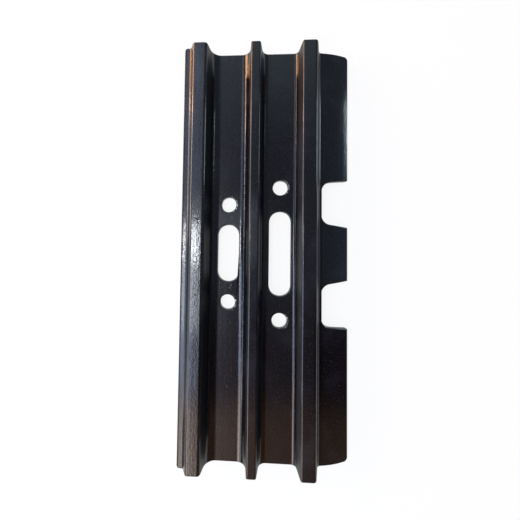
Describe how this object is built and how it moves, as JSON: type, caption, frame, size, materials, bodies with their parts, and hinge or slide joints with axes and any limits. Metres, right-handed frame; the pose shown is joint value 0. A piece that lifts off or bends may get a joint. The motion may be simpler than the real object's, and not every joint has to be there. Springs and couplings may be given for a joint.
{
  "type": "excavator track shoe",
  "caption": "One-piece rolled steel track shoe with grousers along its length, bolt holes, round-ended mud slots and a notched, bent front lip.",
  "frame": {"origin": "middle of the four-bolt pattern, on the flat face that bolts to the track links", "axes": "+X across the shoe to the notched front lip, +Y along its length, +Z from the link face towards the grousers"},
  "size_m": [0.1822, 0.45, 0.0359],
  "materials": {
    "black_enamel": "gloss"
  },
  "bodies": {
    "root": {"track_shoe": "black_enamel"}
  },
  "joints": []
}
